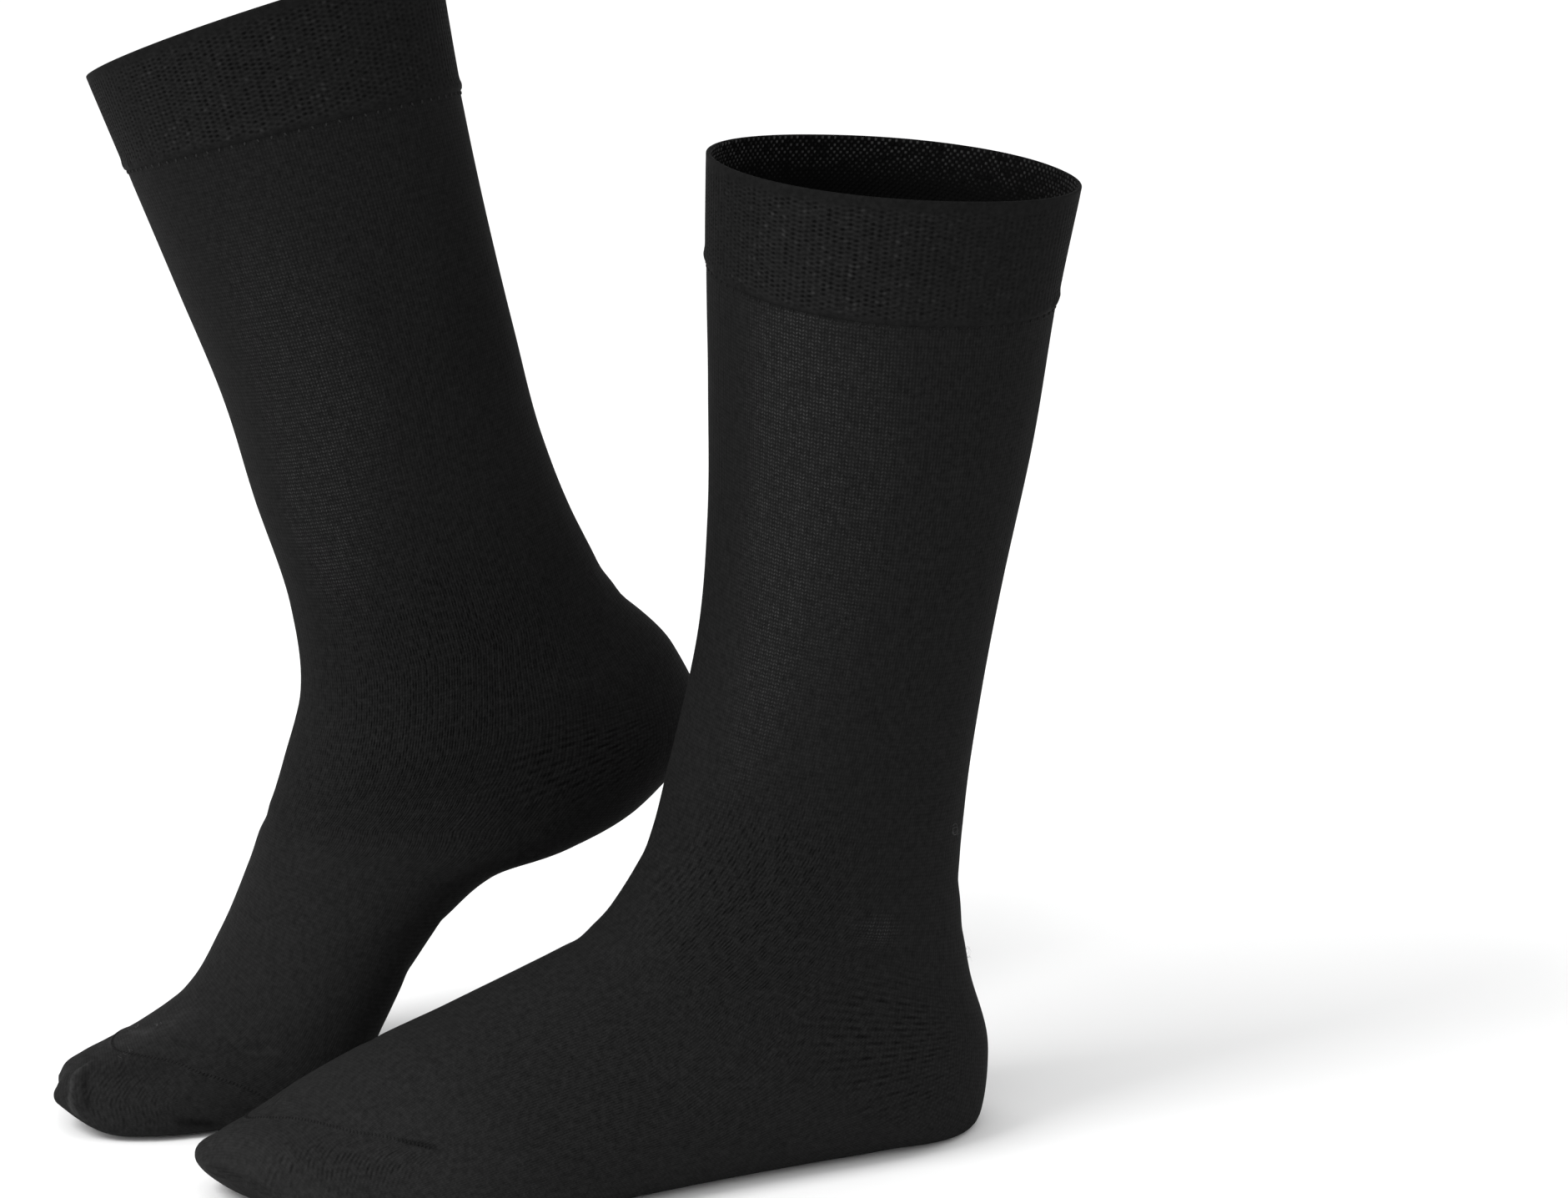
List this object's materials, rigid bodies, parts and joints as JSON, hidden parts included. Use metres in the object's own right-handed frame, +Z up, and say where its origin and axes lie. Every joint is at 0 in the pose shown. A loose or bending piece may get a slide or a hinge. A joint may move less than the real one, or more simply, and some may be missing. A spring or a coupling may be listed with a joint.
{
  "type": "pair of socks",
  "caption": "Plain black knitted crew socks with open cuffs, filled out as on two feet, the front sock flat on its sole and the rear sock raised on its toes.",
  "frame": {"origin": "on the floor, below the middle of the pair's bounding box", "axes": "+Z up; the toes of both socks point along -X; the front sock, with its whole sole on the floor, is on the -Y side and the rear sock, raised on its toes, on the +Y side"},
  "size_m": [0.2826, 0.201, 0.3452],
  "materials": {
    "front_cuff": "matt fine knit, black",
    "front_leg": "matt fine knit, black",
    "front_heel": "matt fine knit, black",
    "front_foot": "matt fine knit, black",
    "front_toe": "matt fine knit, black",
    "rear_cuff": "matt fine knit, black",
    "rear_leg": "matt fine knit, black",
    "rear_heel": "matt fine knit, black",
    "rear_foot": "matt fine knit, black",
    "rear_toe": "matt fine knit, black"
  },
  "bodies": {
    "root": {"front_cuff": "front_cuff", "front_leg": "front_leg", "front_heel": "front_heel", "front_foot": "front_foot", "front_toe": "front_toe", "rear_cuff": "rear_cuff", "rear_leg": "rear_leg", "rear_heel": "rear_heel", "rear_foot": "rear_foot", "rear_toe": "rear_toe"}
  },
  "joints": []
}
